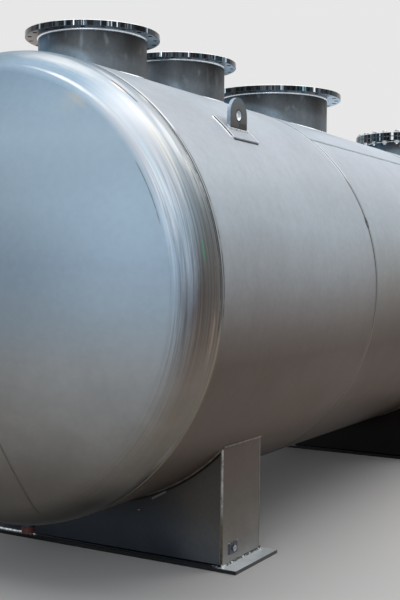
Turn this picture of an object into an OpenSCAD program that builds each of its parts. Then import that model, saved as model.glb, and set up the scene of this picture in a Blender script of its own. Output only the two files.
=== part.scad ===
// Horizontal pressure tank: a welded shell with dished heads, six top nozzles and three box saddles.
// Millimetres. X runs along the tank, Z points up, and the base plates stand on Z = 0.
// The origin is on the floor under the middle of the tank.

/* [Shell] */
// Outside diameter of the shell and heads
tank_od = 2400; // [2300:10:2500]
// Wall of the shell courses
shell_wall = 10; // [6:1:16]
// Length of the first course, from the front head
course_1 = 2000; // [1900:10:2400]
// Length of the second course
course_2 = 2200; // [1900:10:2500]
// Length of the third course
course_3 = 2400; // [2000:10:2500]
// Length of the fourth course, up to the rear head
course_4 = 2400; // [2100:10:2500]
// Gap between the floor and the bottom of the shell
ground_gap = 287; // [200:1:400]

/* [Heads] */
// Outside radius of the crown
crown_r = 2400; // [2000:10:2700]
// Outside radius of the knuckle
knuckle_r = 240; // [180:5:320]
// Straight flange between the knuckle and the shell
head_flange = 40; // [25:1:80]
// Wall of the heads
head_wall = 10; // [6:1:16]
// Turn of the heads' plate joint from upright, in degrees
head_joint_turn = 16.5; // [0:0.5:45]
// How far the plate joint's bead runs out from the middle
head_joint_r = 1125; // [900:5:1140]

/* [Weld beads] */
// Width of the girth and long beads
bead_w = 16; // [8:1:24]
// Height of the girth and long beads
bead_h = 2.5; // [1:0.5:4]
// Width of the heads' plate joint
head_bead_w = 10; // [6:1:16]
// Height of the heads' plate joint
head_bead_h = 1.2; // [0.6:0.2:3]
// Leg of the fillet round each nozzle's foot
foot_leg = 9; // [5:1:14]
// Turn of the first and third courses' long bead from the crown, away from the front side
far_bead_turn = 30; // [20:1:36]
// Turn of the second course's long bead from the crown, towards the front side
near_bead_turn = 37.5; // [25:0.5:60]
// Turn of the fourth course's long bead from the crown, towards the front side
end_bead_turn = 30; // [20:1:36]

/* [Small nozzles] */
// Outside diameter of the small nozzles' pipe
small_pipe_od = 610; // [580:1:640]
// Wall of the small nozzles' pipe
small_pipe_wall = 8; // [5:1:14]
// Outside diameter of the small flanges
small_flange_od = 755; // [745:1:790]
// Thickness of the small flanges
small_flange_t = 32; // [22:1:45]
// Bolt circle of the small flanges
small_bolt_circle = 705; // [690:1:715]
// Diameter of the small flanges' bolt holes
small_bolt_hole = 26; // [18:1:30]
// Number of bolts in a small flange
small_bolts = 20; // [16:4:24]

/* [Large nozzles] */
// Outside diameter of the large nozzles' pipe
large_pipe_od = 813; // [780:1:840]
// Wall of the large nozzles' pipe
large_pipe_wall = 10; // [6:1:16]
// Outside diameter of the large flanges
large_flange_od = 1015; // [1000:1:1060]
// Thickness of the large flanges
large_flange_t = 38; // [26:1:50]
// Bolt circle of the large flanges
large_bolt_circle = 950; // [920:1:960]
// Diameter of the large flanges' bolt holes
large_bolt_hole = 33; // [26:1:36]
// Number of bolts in a large flange
large_bolts = 24; // [20:4:28]

/* [Nozzle places] */
// Height of the flange faces above the top of the shell
nozzle_rise = 220; // [150:5:300]
// How far a pipe's end stands back from its flange's face
pipe_set_back = 9; // [4:1:14]
// Distance of the first nozzle from the head's seam
nozzle_at_1 = 635; // [560:5:700]
// Distance of the second nozzle from the head's seam
nozzle_at_2 = 1545; // [1450:5:1600]
// Distance of the third nozzle from the head's seam
nozzle_at_3 = 2950; // [2700:5:3200]
// Thickness of the blind cover on the fourth nozzle
cover_t = 36; // [26:1:50]
// Thickness of the gasket under the blind cover
gasket_t = 4; // [2:0.5:6]
// Break on the outer edges of the flanges and the blind cover
edge_break = 2; // [1:0.5:4]

/* [Saddles] */
// Distance of an end saddle's middle from the head's seam
saddle_at = 855; // [750:5:1000]
// Length of a saddle along the tank, over its webs
saddle_len = 432; // [360:2:480]
// Width of a saddle over its end plates
saddle_w = 1732; // [1500:2:1900]
// Thickness of the webs and end plates
saddle_plate = 15; // [10:1:20]
// Length of a base plate along the tank
base_len = 496; // [490:2:560]
// Width of a base plate across the tank
base_w = 1930; // [1910:2:2100]
// Thickness of a base plate
base_t = 20; // [12:1:30]

/* [Lifting lugs] */
// Distance of a lug's eye from the head's seam
lug_at = 790; // [700:5:900]
// Turn of a lug's foot from the crown, in degrees
lug_turn = 44.2; // [38:0.2:50]
// Width of a lug
lug_w = 190; // [150:2:220]
// Thickness of a lug
lug_t = 20; // [12:1:30]
// Diameter of a lug's eye
lug_eye = 54; // [40:1:80]
// Height of the eye above the pad
lug_eye_h = 68; // [50:1:110]
// Length of a lug's pad along the tank
pad_len = 312; // [260:2:360]
// Width of a lug's pad round the shell
pad_w = 180; // [140:2:220]
// Thickness of a lug's pad
pad_t = 10; // [6:1:16]
// Corner radius of a lug's pad
pad_corner = 30; // [10:1:50]

/* [Drain and earthing] */
// Distance of the drain from the front head's seam
drain_at = 92; // [70:1:300]
// Outside diameter of the drain's pipe
drain_od = 60; // [48:1:76]
// Wall of the drain's pipe
drain_wall = 4; // [2:0.5:6]
// How far the drain's pipe reaches below the shell
drain_drop = 76; // [50:1:120]
// Wall of the drain's cap
cap_wall = 4; // [2:0.5:6]
// Depth of the drain's cap over the pipe
cap_depth = 28; // [15:1:45]
// Distance of the earthing plate's middle from the front head's seam
earth_at = 753; // [700:1:1000]
// Height of the earthing plate's middle above the base plate
earth_up = 78; // [60:1:200]
// Length of the earthing plate
earth_len = 90; // [60:1:110]
// Height of the earthing plate
earth_h = 60; // [40:1:80]
// Thickness of the earthing plate
earth_t = 6; // [4:1:10]
// Diameter of the earthing boss
boss_d = 34; // [28:1:40]
// How far the earthing boss stands out
boss_out = 16; // [8:1:30]
// Diameter of the earthing boss's hole
boss_hole = 10; // [6:1:16]

/* [Hidden] */
$fn = 96;
// Facets shown on the large round forms
large_fn = 720;

steel = "silver";
dull_steel = "darkgray";
bead_steel = "gainsboro";
cap_red = "firebrick";

tank_r = tank_od / 2;
axis_h = ground_gap + tank_r;
shell_in_r = tank_r - shell_wall;
flange_face = axis_h + tank_r + nozzle_rise;
course_len = [course_1, course_2, course_3, course_4];
shell_len = course_1 + course_2 + course_3 + course_4;
front_seam = -shell_len / 2;
rear_seam = shell_len / 2;
clear = 1;
// A girth bead's outline, as shares of its height and width
shoulder_up = 0.7;
shoulder_out = 0.32;
crest_out = 0.12;

nozzle_x = [
    front_seam + nozzle_at_1, front_seam + nozzle_at_2, front_seam + nozzle_at_3,
    rear_seam - nozzle_at_3, rear_seam - nozzle_at_2, rear_seam - nozzle_at_1
];
nozzle_is_large = [false, false, true, true, false, false];
covered_nozzle = 3;
saddle_x = [front_seam + saddle_at, 0, rear_seam - saddle_at];
pad_out_r = tank_r + pad_t;
lug_out = pad_out_r * sin(lug_turn);
lug_foot_z = pad_out_r * cos(lug_turn);
lug_eye_z = axis_h + lug_foot_z + lug_eye_h;

// Height above the axis at which a round bar of radius r meets the shell's inside all round
function inside_meet(r) = sqrt(pow(shell_in_r, 2) - pow(r, 2));
function seam_x(i) = i == 0 ? front_seam : seam_x(i - 1) + course_len[i - 1];
function pipe_r(i) = nozzle_is_large[i] ? large_pipe_od / 2 : small_pipe_od / 2;
function pipe_in_r(i) = nozzle_is_large[i] ? large_pipe_od / 2 - large_pipe_wall : small_pipe_od / 2 - small_pipe_wall;
function flange_r(i) = nozzle_is_large[i] ? large_flange_od / 2 : small_flange_od / 2;
function flange_t(i) = nozzle_is_large[i] ? large_flange_t : small_flange_t;
function bolt_circle_r(i) = nozzle_is_large[i] ? large_bolt_circle / 2 : small_bolt_circle / 2;
function bolt_hole_r(i) = nozzle_is_large[i] ? large_bolt_hole / 2 : small_bolt_hole / 2;
function bolt_count(i) = nozzle_is_large[i] ? large_bolts : small_bolts;

// A round bar along the tank's axis
module axis_bar(from, to, r) {
    translate([from, 0, axis_h]) rotate([0, 90, 0])
        cylinder(r = r, h = to - from, $fn = large_fn);
}

// A round upright bar on the tank's middle line
module upright_bar(x, from_z, to_z, r) {
    translate([x, 0, from_z]) cylinder(r = r, h = to_z - from_z, $fn = large_fn);
}

// Half of a dished head's outline, with the axis at x = 0 and the rim at y = 0
module head_outline(rim_r, crown, knuckle, rim_y) {
    knuckle_x = rim_r - knuckle;
    crown_y = head_flange - sqrt(pow(crown - knuckle, 2) - pow(knuckle_x, 2));
    reach = 2 * crown;
    lean = asin(knuckle_x / (crown - knuckle));
    intersection() {
        translate([0, crown_y]) circle(r = crown, $fn = large_fn);
        translate([0, crown_y]) polygon([[0, 0], [reach * sin(lean), reach * cos(lean)], [0, reach]]);
        translate([0, rim_y]) square([rim_r, reach]);
    }
    intersection() {
        translate([knuckle_x, head_flange]) circle(r = knuckle, $fn = large_fn);
        translate([0, rim_y]) square([rim_r, reach]);
    }
    translate([0, rim_y]) square([rim_r, head_flange - rim_y]);
}

// A solid dished head that grows out of the plane x = 0, towards -X, on the tank's axis
module head_body(grow, rim_y) {
    rotate([0, -90, 0]) rotate_extrude($fn = large_fn)
        head_outline(tank_r + grow, crown_r + grow, knuckle_r + grow, rim_y);
}

module head() {
    difference() {
        head_body(0, 0);
        head_body(-head_wall, -clear);
    }
}

module front_head() {
    color(steel) translate([front_seam, 0, axis_h]) head();
}

module rear_head() {
    color(steel) translate([rear_seam, 0, axis_h]) rotate([0, 0, 180]) head();
}

// Half of the plate joint's bead in outline, between the dish and the bead's top
module head_bead_outline() {
    intersection() {
        difference() {
            head_outline(tank_r + head_bead_h, crown_r + head_bead_h, knuckle_r + head_bead_h, clear);
            head_outline(tank_r, crown_r, knuckle_r, 0);
        }
        square([head_joint_r, 2 * crown_r]);
    }
}

// The bead over the joint of a head's two plates, a strip that follows the dish
module head_joint_bead() {
    rotate([-head_joint_turn, 0, 0]) rotate([0, -90, 0]) rotate([90, 0, 0])
        linear_extrude(height = head_bead_w, center = true) {
            head_bead_outline();
            mirror([1, 0]) head_bead_outline();
        }
}

module head_joint_beads() {
    color(bead_steel) {
        translate([front_seam, 0, axis_h]) head_joint_bead();
        translate([rear_seam, 0, axis_h]) rotate([0, 0, 180]) head_joint_bead();
    }
}

// The part of nozzle i's pipe hole that cuts a course
module nozzle_hole(i) {
    upright_bar(nozzle_x[i], axis_h, flange_face, pipe_r(i));
}

module drain_hole() {
    upright_bar(front_seam + drain_at, axis_h - tank_r - clear, axis_h, drain_od / 2);
}

module shell_course(c) {
    from = seam_x(c);
    to = seam_x(c + 1);
    color(steel) difference() {
        axis_bar(from, to, tank_r);
        axis_bar(from - clear, to + clear, shell_in_r);
        for (i = [0:5])
            if (nozzle_x[i] + pipe_r(i) > from && nozzle_x[i] - pipe_r(i) < to) nozzle_hole(i);
        if (c == 0) drain_hole();
    }
}

// A low rounded ring of weld round the shell
module girth_bead(x) {
    translate([x, 0, axis_h]) rotate([0, 90, 0]) rotate_extrude($fn = large_fn)
        translate([tank_r, 0]) polygon([
            [0, -bead_w / 2], [0, bead_w / 2],
            [bead_h * shoulder_up, bead_w * shoulder_out], [bead_h, bead_w * crest_out],
            [bead_h, -bead_w * crest_out], [bead_h * shoulder_up, -bead_w * shoulder_out]
        ]);
}

module girth_beads() {
    color(bead_steel) for (s = [0:4]) girth_bead(seam_x(s));
}

// A straight bead along course c, turned from the crown towards -Y by turn degrees
module long_bead(c, turn) {
    from = seam_x(c) + bead_w / 2;
    to = seam_x(c + 1) - bead_w / 2;
    difference() {
        intersection() {
            axis_bar(from, to, tank_r + bead_h);
            translate([from, 0, axis_h]) rotate([turn, 0, 0])
                translate([0, -bead_w / 2, 0]) cube([to - from, bead_w, tank_r + 2 * bead_h]);
        }
        axis_bar(from - clear, to + clear, tank_r);
    }
}

module long_beads() {
    color(bead_steel) {
        long_bead(0, -far_bead_turn);
        long_bead(1, near_bead_turn);
        long_bead(2, -far_bead_turn);
        long_bead(3, end_bead_turn);
    }
}

// A nozzle's pipe, cut at its foot to the inside of the shell
module nozzle(i) {
    foot_z = axis_h + inside_meet(pipe_r(i)) - clear;
    top_z = flange_face - pipe_set_back;
    color(dull_steel) difference() {
        upright_bar(nozzle_x[i], foot_z, top_z, pipe_r(i));
        upright_bar(nozzle_x[i], foot_z - clear, top_z + clear, pipe_in_r(i));
        axis_bar(nozzle_x[i] - pipe_r(i) - clear, nozzle_x[i] + pipe_r(i) + clear, shell_in_r);
    }
}

// The fillet where a nozzle's pipe leaves the shell, as wide as it is high
module nozzle_foot_bead(i) {
    reach = pipe_r(i) + foot_leg + clear;
    difference() {
        intersection() {
            upright_bar(nozzle_x[i], axis_h, flange_face, pipe_r(i) + foot_leg);
            axis_bar(nozzle_x[i] - reach, nozzle_x[i] + reach, tank_r + foot_leg);
        }
        axis_bar(nozzle_x[i] - reach - clear, nozzle_x[i] + reach + clear, tank_r);
        nozzle_hole(i);
    }
}

module nozzle_foot_beads() {
    color(bead_steel) for (i = [0:5]) nozzle_foot_bead(i);
}

// The holes for nozzle i's bolts, half a pitch off the tank's centre line
module bolt_holes(i, from_z, to_z) {
    pitch = 360 / bolt_count(i);
    for (k = [0:bolt_count(i) - 1])
        rotate([0, 0, (k + 0.5) * pitch])
            translate([bolt_circle_r(i), 0, from_z]) cylinder(r = bolt_hole_r(i), h = to_z - from_z, $fn = 32);
}

// A disc from z = 0 up to z = t, with both outer edges broken
module broken_disc(r, t) {
    rotate_extrude() polygon([
        [0, 0], [r - edge_break, 0], [r, edge_break],
        [r, t - edge_break], [r - edge_break, t], [0, t]
    ]);
}

module flange(i) {
    color(steel) translate([nozzle_x[i], 0, flange_face]) difference() {
        translate([0, 0, -flange_t(i)]) broken_disc(flange_r(i), flange_t(i));
        translate([0, 0, -flange_t(i) - clear]) cylinder(r = pipe_r(i), h = flange_t(i) + 2 * clear);
        bolt_holes(i, -flange_t(i) - clear, clear);
    }
}

module cover_gasket() {
    i = covered_nozzle;
    color("dimgray") translate([nozzle_x[i], 0, flange_face]) difference() {
        cylinder(r = bolt_circle_r(i) - bolt_hole_r(i) - clear, h = gasket_t);
        translate([0, 0, -clear]) cylinder(r = pipe_r(i), h = gasket_t + 2 * clear);
    }
}

module blind_cover() {
    i = covered_nozzle;
    color(steel) translate([nozzle_x[i], 0, flange_face + gasket_t]) difference() {
        broken_disc(flange_r(i), cover_t);
        bolt_holes(i, -clear, cover_t + clear);
    }
}

// An upright plate across a saddle, cut on top to the shell; face is its lower X side
module saddle_web(face) {
    half_w = saddle_w / 2 - saddle_plate;
    color(dull_steel) difference() {
        translate([face, -half_w, base_t]) cube([saddle_plate, 2 * half_w, axis_h - base_t]);
        axis_bar(face - clear, face + saddle_plate + clear, tank_r);
    }
}

module saddle_front_web(s) {
    saddle_web(saddle_x[s] - saddle_len / 2);
}

module saddle_rear_web(s) {
    saddle_web(saddle_x[s] + saddle_len / 2 - saddle_plate);
}

// The two plates that close a saddle's sides, cut on top to the shell
module saddle_end_plates(s) {
    from = saddle_x[s] - saddle_len / 2;
    half_w = saddle_w / 2;
    color(dull_steel) difference() {
        for (side = [-half_w, half_w - saddle_plate])
            translate([from, side, base_t]) cube([saddle_len, saddle_plate, axis_h - base_t]);
        axis_bar(from - clear, from + saddle_len + clear, tank_r);
    }
}

module saddle_base_plate(s) {
    color(dull_steel) translate([saddle_x[s] - base_len / 2, -base_w / 2, 0]) cube([base_len, base_w, base_t]);
}

// A plate outline with rounded corners, centred
module rounded_plate(l, w, r) {
    square([l - 2 * r, w], center = true);
    square([l, w - 2 * r], center = true);
    for (x = [-1, 1], y = [-1, 1])
        translate([x * (l / 2 - r), y * (w / 2 - r)]) circle(r = r);
}

// A lug's curved pad; side is -1 for the near side and 1 for the far side
module lug_pad(x, side) {
    difference() {
        intersection() {
            axis_bar(x - pad_len / 2 - clear, x + pad_len / 2 + clear, pad_out_r);
            translate([x, 0, axis_h]) rotate([-side * lug_turn, 0, 0])
                linear_extrude(height = pad_out_r + pad_t) rounded_plate(pad_len, pad_w, pad_corner);
        }
        axis_bar(x - pad_len, x + pad_len, tank_r);
    }
}

module lug_pads() {
    color(steel) for (x = [front_seam + lug_at, rear_seam - lug_at], side = [-1, 1]) lug_pad(x, side);
}

// A lug: a round-topped plate that stands on its pad, with the eye in the middle of its top
module lug(x, side) {
    drop = lug_eye_z - axis_h - lug_foot_z + 2 * lug_t;
    color(dull_steel) difference() {
        translate([x, side * lug_out + lug_t / 2, lug_eye_z]) rotate([90, 0, 0]) linear_extrude(height = lug_t)
            difference() {
                union() {
                    circle(d = lug_w);
                    translate([-lug_w / 2, -drop]) square([lug_w, drop]);
                }
                circle(d = lug_eye);
            }
        axis_bar(x - lug_w, x + lug_w, pad_out_r);
    }
}

module lug_front_near() {
    lug(front_seam + lug_at, -1);
}

module lug_front_far() {
    lug(front_seam + lug_at, 1);
}

module lug_rear_near() {
    lug(rear_seam - lug_at, -1);
}

module lug_rear_far() {
    lug(rear_seam - lug_at, 1);
}

module drain_pipe() {
    x = front_seam + drain_at;
    foot_z = axis_h - tank_r - drain_drop;
    color(dull_steel) difference() {
        upright_bar(x, foot_z, axis_h - inside_meet(drain_od / 2) + clear, drain_od / 2);
        upright_bar(x, foot_z - clear, axis_h, drain_od / 2 - drain_wall);
        axis_bar(x - drain_od, x + drain_od, shell_in_r);
    }
}

// A cap pushed over the drain's end
module drain_cap() {
    x = front_seam + drain_at;
    foot_z = axis_h - tank_r - drain_drop;
    color(cap_red) difference() {
        upright_bar(x, foot_z - cap_wall, foot_z + cap_depth, drain_od / 2 + cap_wall);
        upright_bar(x, foot_z, foot_z + cap_depth + clear, drain_od / 2);
    }
}

// A small plate with a tapped boss, on the near end plate of the front saddle
module earthing_plate() {
    face_y = -saddle_w / 2;
    color(bead_steel) translate([front_seam + earth_at, face_y, base_t + earth_up]) difference() {
        union() {
            translate([-earth_len / 2, -earth_t, -earth_h / 2]) cube([earth_len, earth_t, earth_h]);
            rotate([90, 0, 0]) cylinder(d = boss_d, h = boss_out);
        }
        rotate([90, 0, 0]) translate([0, 0, -clear]) cylinder(d = boss_hole, h = boss_out + 2 * clear);
    }
}

front_head();
rear_head();
head_joint_beads();
shell_course(0);  // shell_course_1
shell_course(1);  // shell_course_2
shell_course(2);  // shell_course_3
shell_course(3);  // shell_course_4
girth_beads();
long_beads();
nozzle(0);  // nozzle_1
nozzle(1);  // nozzle_2
nozzle(2);  // nozzle_3
nozzle(3);  // nozzle_4
nozzle(4);  // nozzle_5
nozzle(5);  // nozzle_6
nozzle_foot_beads();
flange(0);  // flange_1
flange(1);  // flange_2
flange(2);  // flange_3
flange(3);  // flange_4
flange(4);  // flange_5
flange(5);  // flange_6
cover_gasket();
blind_cover();
saddle_front_web(0);  // saddle_1_front_web
saddle_rear_web(0);  // saddle_1_rear_web
saddle_end_plates(0);  // saddle_1_end_plates
saddle_base_plate(0);  // saddle_1_base_plate
saddle_front_web(1);  // saddle_2_front_web
saddle_rear_web(1);  // saddle_2_rear_web
saddle_end_plates(1);  // saddle_2_end_plates
saddle_base_plate(1);  // saddle_2_base_plate
saddle_front_web(2);  // saddle_3_front_web
saddle_rear_web(2);  // saddle_3_rear_web
saddle_end_plates(2);  // saddle_3_end_plates
saddle_base_plate(2);  // saddle_3_base_plate
lug_pads();
lug_front_near();
lug_front_far();
lug_rear_near();
lug_rear_far();
drain_pipe();
drain_cap();
earthing_plate();
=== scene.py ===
import math

import bpy
from mathutils import Matrix, Vector


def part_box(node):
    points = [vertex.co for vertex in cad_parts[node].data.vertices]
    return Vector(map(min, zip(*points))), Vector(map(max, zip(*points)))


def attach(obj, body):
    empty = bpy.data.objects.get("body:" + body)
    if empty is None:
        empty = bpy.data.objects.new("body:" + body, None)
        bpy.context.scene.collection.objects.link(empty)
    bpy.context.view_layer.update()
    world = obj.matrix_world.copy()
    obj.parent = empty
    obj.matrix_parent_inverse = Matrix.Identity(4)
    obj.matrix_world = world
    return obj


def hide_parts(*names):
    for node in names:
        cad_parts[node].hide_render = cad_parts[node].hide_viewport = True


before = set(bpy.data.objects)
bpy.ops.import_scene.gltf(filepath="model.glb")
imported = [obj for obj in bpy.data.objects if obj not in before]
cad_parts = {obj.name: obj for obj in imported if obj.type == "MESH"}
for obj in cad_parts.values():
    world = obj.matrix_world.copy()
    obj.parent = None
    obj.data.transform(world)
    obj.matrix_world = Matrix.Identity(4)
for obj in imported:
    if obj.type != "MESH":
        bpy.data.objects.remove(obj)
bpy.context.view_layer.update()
print("frame loaded with", len(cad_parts), "nodes")

scene = bpy.context.scene


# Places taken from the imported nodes, in metres

shellLow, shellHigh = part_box("shell_course_2")
shellRadius = (shellHigh.y - shellLow.y) / 2
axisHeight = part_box("front_head")[0].z + shellRadius
courses = ["shell_course_1", "shell_course_2", "shell_course_3", "shell_course_4"]
seams = [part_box(course)[0].x for course in courses] + [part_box(courses[-1])[1].x]
nozzles = ["nozzle_1", "nozzle_2", "nozzle_3", "nozzle_4", "nozzle_5", "nozzle_6"]
flanges = ["flange_1", "flange_2", "flange_3", "flange_4", "flange_5", "flange_6"]
saddles = ["saddle_1", "saddle_2", "saddle_3"]
lugs = ["lug_front_near", "lug_front_far", "lug_rear_near", "lug_rear_far"]
lugLow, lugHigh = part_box(lugs[0])
lugPlace = abs(lugLow.x + lugHigh.x) / 2   # from the tank's middle, at both ends
longTurns = [-30.0, 37.5, -30.0, 30.0]   # long beads of the courses, degrees from the crown towards -Y


def linearColour(red, green, blue):
    def one(value):
        value = value / 255
        return value / 12.92 if value <= 0.04045 else ((value + 0.055) / 1.055) ** 2.4
    return (one(red), one(green), one(blue), 1.0)


# Node helpers. A Wire is a node's output, and sums of wires make Math nodes.
# Three numbers are a tone of 0 to 255, and four a linear colour.

class Wire:
    def __init__(self, socket):
        self.socket = socket

    def __add__(self, other):
        return calc("ADD", self, other)

    def __radd__(self, other):
        return calc("ADD", other, self)

    def __sub__(self, other):
        return calc("SUBTRACT", self, other)

    def __rsub__(self, other):
        return calc("SUBTRACT", other, self)

    def __mul__(self, other):
        return calc("MULTIPLY", self, other)

    def __rmul__(self, other):
        return calc("MULTIPLY", other, self)

    def __truediv__(self, other):
        return calc("DIVIDE", self, other)

    def __rtruediv__(self, other):
        return calc("DIVIDE", other, self)

    def __abs__(self):
        return calc("ABSOLUTE", self)


def treeOf(*values):
    return next(value.socket.id_data for value in values if isinstance(value, Wire))


def addNode(tree, kind, **settings):
    node = tree.nodes.new(kind)
    for key, value in settings.items():
        setattr(node, key, value)
    return node


def feed(socket, value):
    if isinstance(value, Wire):
        socket.id_data.links.new(value.socket, socket)
    elif isinstance(value, tuple) and len(value) == 3:
        socket.default_value = linearColour(*value)
    else:
        socket.default_value = value


def addStep(tree, kind, values, **settings):
    # a node with its inputs fed by name or number; gives its first output
    node = addNode(tree, kind, **settings)
    for label, value in values.items():
        feed(node.inputs[label], value)
    return Wire(node.outputs[0])


def calc(operation, *values):
    return addStep(treeOf(*values), "ShaderNodeMath", dict(enumerate(values)), operation=operation)


def ease(value, fromMin, fromMax, toMin=0.0, toMax=1.0, kind="SMOOTHSTEP"):
    limits = {0: value, 1: fromMin, 2: fromMax, 3: toMin, 4: toMax}
    return addStep(treeOf(value), "ShaderNodeMapRange", limits, interpolation_type=kind)


def fade(value, fromMin, fromMax):
    # 1 up to fromMin, and 0 from fromMax on
    return ease(value, fromMin, fromMax, 1.0, 0.0)


def blend(share, first, second, mode="MIX"):
    node = addNode(treeOf(share, first, second), "ShaderNodeMix", data_type="RGBA", blend_type=mode)
    for place, value in ((0, share), (6, first), (7, second)):
        feed(node.inputs[place], value)
    return Wire(node.outputs[2])


def ramp(value, tones):
    node = addNode(treeOf(value), "ShaderNodeValToRGB")
    elements = node.color_ramp.elements
    stops = [(place, linearColour(*tone)) for place, tone in tones]
    elements[0].position, elements[0].color = stops[0]
    elements[1].position, elements[1].color = stops[-1]
    for place, colour in stops[1:-1]:
        elements.new(place).color = colour
    feed(node.inputs[0], value)
    return Wire(node.outputs[0])


def noise(vector, scale, detail=4.0, roughness=0.55):
    values = {"Vector": vector, "Scale": scale, "Detail": detail, "Roughness": roughness}
    return addStep(treeOf(vector), "ShaderNodeTexNoise", values)


def joinAxes(x=0.0, y=0.0, z=0.0):
    return addStep(treeOf(x, y, z), "ShaderNodeCombineXYZ", {0: x, 1: y, 2: z})


def splitAxes(vector):
    node = addNode(treeOf(vector), "ShaderNodeSeparateXYZ")
    feed(node.inputs[0], vector)
    return [Wire(output) for output in node.outputs]


def greyed(colour, grey):
    return blend(1.0, colour, joinAxes(grey, grey, grey), "MULTIPLY")


def tinted(colour, value, low, high):
    # colour times a grey that runs from low to high as value goes from 0.25 to 0.75
    return greyed(colour, ease(value, 0.25, 0.75, low, high))


def mottled(colour, coords, sizes):
    # one noise after the other, each with its scale and its share of light and dark
    for scale, share in sizes:
        colour = tinted(colour, noise(coords, scale, 2.0, 0.5), 1 - share, 1 + share)
    return colour


def strip(value, middle, half, soft):
    # 1 within half of the middle, fading to 0 over soft
    return fade(abs(value - middle), half, half + soft)


def between(value, low, high, soft):
    return strip(value, (low + high) / 2, (high - low) / 2, soft)


def oval(across, acrossPlace, acrossHalf, along, alongPlace, alongHalf, waver=0.0):
    # 1 in the middle of an oval patch, fading to 0 at its edge
    first = (across - acrossPlace) / acrossHalf
    second = (along - alongPlace) / alongHalf
    return fade(calc("SQRT", first * first + second * second) + waver, 0.15, 1.0)


def startMaterial(name, metallic, roughness):
    material = bpy.data.materials.new(name)
    material.use_nodes = True
    tree = material.node_tree
    tree.nodes.clear()
    surface = addNode(tree, "ShaderNodeBsdfPrincipled")
    surface.inputs["Metallic"].default_value = metallic
    surface.inputs["Roughness"].default_value = roughness
    tree.links.new(surface.outputs[0], addNode(tree, "ShaderNodeOutputMaterial").inputs[0])
    coords = Wire(addNode(tree, "ShaderNodeTexCoord").outputs["Object"])
    return material, surface, coords, splitAxes(coords)


def dress(surface, colour, roughness=None):
    feed(surface.inputs["Base Color"], colour)
    if roughness is not None:
        feed(surface.inputs["Roughness"], roughness)


def bumped(surface, height, strength, distance):
    values = {"Strength": strength, "Distance": distance, "Height": height}
    feed(surface.inputs["Normal"], addStep(surface.id_data, "ShaderNodeBump", values))


def facingAxes(surface):
    return splitAxes(Wire(addNode(surface.id_data, "ShaderNodeNewGeometry").outputs["Normal"]))


def roundAxis(axes):
    # distance from the tank's axis, and the turn round it in radians
    up = axes[2] - axisHeight
    return calc("SQRT", up * up + axes[1] * axes[1]), calc("ARCTAN2", axes[1], up)


def nearestSeam(axes):
    nearest = abs(axes[0] - seams[0])
    for seam in seams[1:]:
        nearest = calc("MINIMUM", nearest, abs(axes[0] - seam))
    return nearest


def heightShare(axes):
    # 0 at the bottom of the shell, 1 at its top
    return ease(axes[2], axisHeight - shellRadius, axisHeight + shellRadius, kind="LINEAR")


def atHeads(axes):
    # 1 at the seams between shell and heads, 0 at the others
    return ease(abs(axes[0]), 4.2, 4.3)


def alongLugs(axes):
    return abs(abs(axes[0]) - lugPlace)


def cutEdge(facing):
    # 1 where a plate's surface turns away from its broad sides
    return fade(facing, 0.35, 0.65)


# Materials

shellLook = {
    "metallic": 0.35, "roughness": 0.46,
    "tones": [(0.0, (46, 41, 36)), (0.08, (79, 69, 60)), (0.2, (117, 99, 87)), (0.35, (94, 77, 66)),
              (0.41, (114, 104, 99)), (0.47, (137, 134, 134)), (0.55, (165, 171, 177)), (0.65, (180, 191, 200)),
              (0.85, (173, 180, 190)), (1.0, (172, 183, 193))],
    "mottle": [(1.3, 0.05), (5.0, 0.02), (14.0, 0.025), (34.0, 0.035)],
    "middleShade": (0.68, 0.61, 0.52, 1.0), "middleSheen": (1.17, 1.16, 1.17, 1.0),
    "seamDarkReflection": (92, 97, 98), "seamLightReflection": (140, 127, 108), "seamLine": (44, 46, 48), "edgeHighlight": (236, 240, 244),
    "longMark": (126, 146, 150), "padHighlightLine": (0.136, 0.140), "padShadeEdge": (0.148, 0.151),
    "nick": {"turn": -70.0, "halfLength": 0.034, "halfTurn": 2.6, "tone": (34, 36, 36)},
}


def nicked(colour, coords, axes, degrees):
    # a dark chip on the second seam
    nick = shellLook["nick"]
    mask = oval(axes[0], seams[1] - 0.002, nick["halfLength"], degrees, nick["turn"], nick["halfTurn"])
    mask = ease(mask, 0.2, 0.3) * ease(noise(coords, 60.0, 3.0), 0.38, 0.48) * 0.92
    return blend(mask, colour, nick["tone"])


def seamMarks(colour, axes, height, marks):
    # Each seam has a brushed band, darker at mid height and lighter low down as painted reflection; the head's seam
    # has thin dark lines, the others have painted highlights on their edges near the top
    look = shellLook
    gap = nearestSeam(axes)
    brushed = strip(gap, 0.0, 0.014, 0.020)
    colour = blend(brushed * between(height, 0.46, 0.80, 0.08) * 0.45, colour, look["seamDarkReflection"])
    colour = blend(brushed * between(height, 0.20, 0.36, 0.07) * 0.45, colour, look["seamLightReflection"])
    atHead = atHeads(axes)
    line = strip(gap, 0.0155, 0.0022, 0.0022) * between(height, 0.44, 0.76, 0.04) * 0.85
    colour = blend(line * ease(marks, 0.40, 0.52) * atHead, colour, look["seamLine"])
    # painted highlights along the seams' edges near the top
    inside = between(height, 0.80, 0.91, 0.03) * fade(atHead, 0.0, 1.0) * 0.75
    outside = between(height, 0.83, 0.965, 0.02) * atHead * 0.95
    edge = strip(gap, 0.0180, 0.0070, 0.0060) * (inside + outside)
    return blend(edge, colour, look["edgeHighlight"])


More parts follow.
